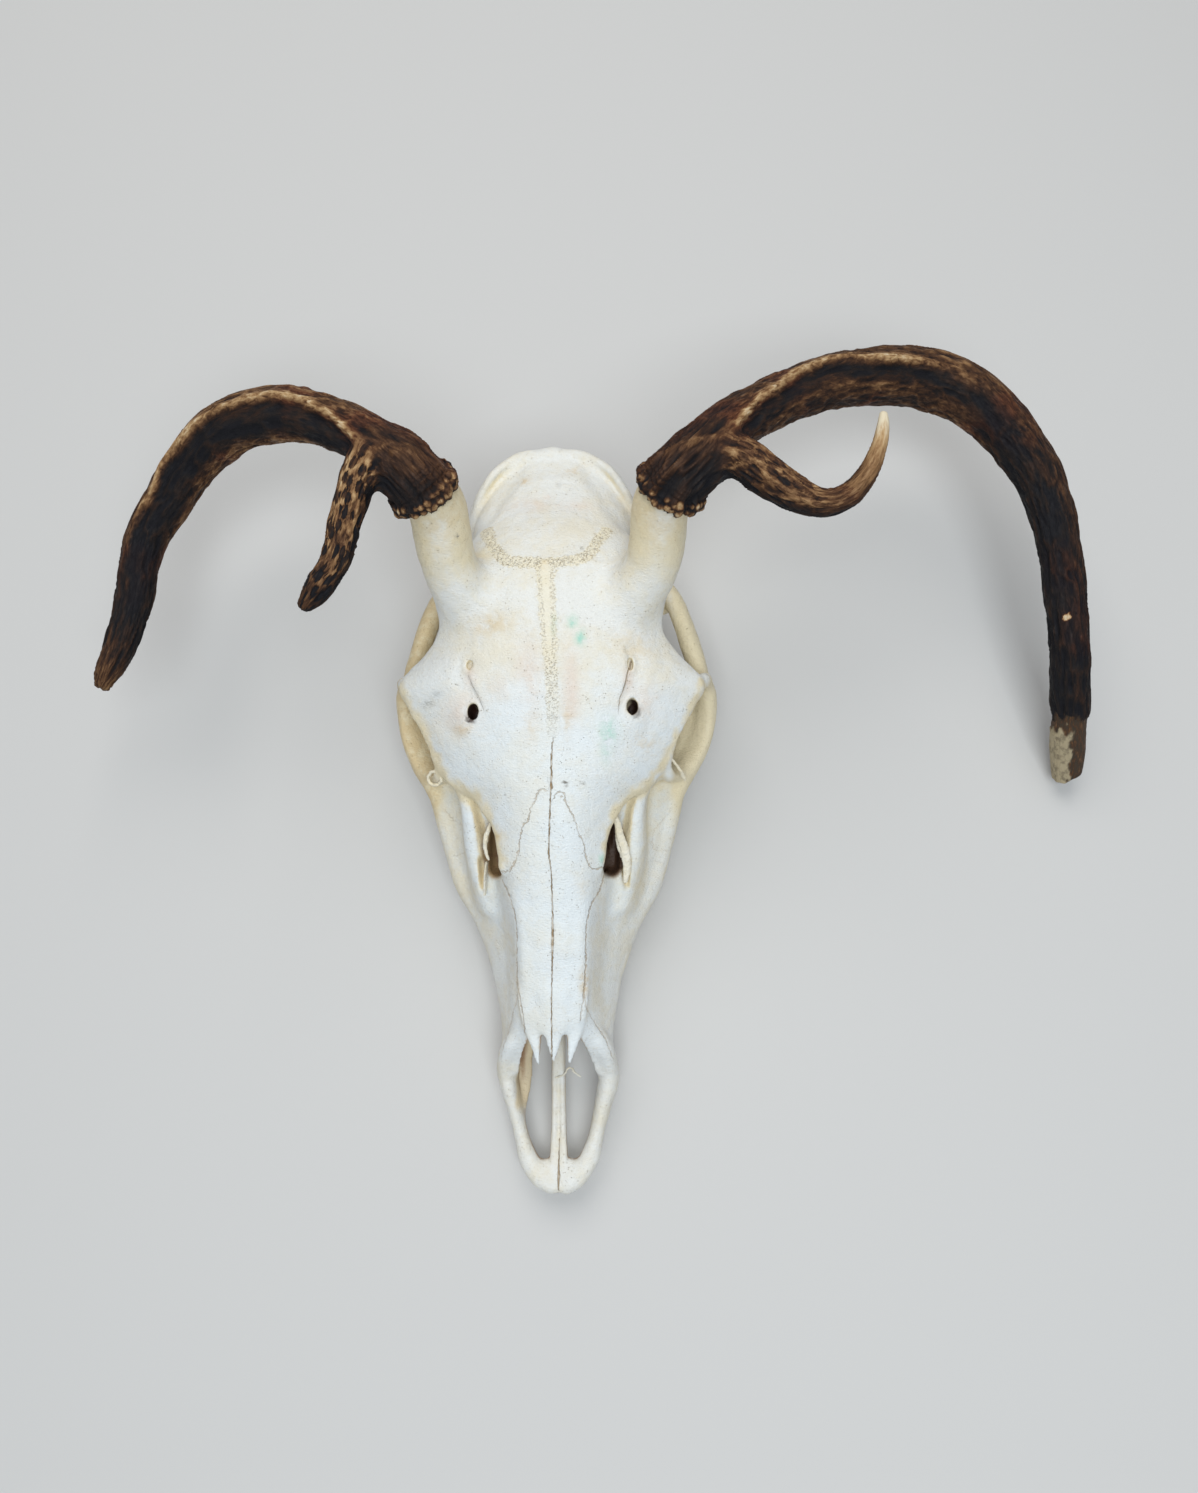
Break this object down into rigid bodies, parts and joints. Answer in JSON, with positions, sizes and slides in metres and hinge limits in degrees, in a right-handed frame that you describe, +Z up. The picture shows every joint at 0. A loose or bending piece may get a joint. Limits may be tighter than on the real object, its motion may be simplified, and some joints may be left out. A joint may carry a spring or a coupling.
{
  "type": "deer skull with antlers",
  "caption": "Dry deer skull without its lower jaw, its bent antlers still on their pedicles, lying on its upper cheek teeth.",
  "frame": {"origin": "middle of the whole object's footprint, on the surface that it lies on", "axes": "-Y towards the nose, +X towards the animal's left, +Z up out of the forehead"},
  "size_m": [0.5158, 0.417, 0.1807],
  "materials": {
    "bone": "dry bleached bone, matt",
    "antler": "dark grooved antler with light ridges",
    "tine": "brown grooved antler with a pale polished tip",
    "enamel": "worn tooth enamel, satin"
  },
  "bodies": {
    "root": {"skull": "bone", "antler_beam_left": "antler", "antler_beam_right": "antler", "brow_tine_left": "tine", "brow_tine_right": "tine", "tooth_left_1": "enamel", "tooth_left_2": "enamel", "tooth_left_3": "enamel", "tooth_left_4": "enamel", "tooth_left_5": "enamel", "tooth_left_6": "enamel", "tooth_right_1": "enamel", "tooth_right_2": "enamel", "tooth_right_3": "enamel", "tooth_right_4": "enamel", "tooth_right_5": "enamel", "tooth_right_6": "enamel"}
  },
  "joints": []
}
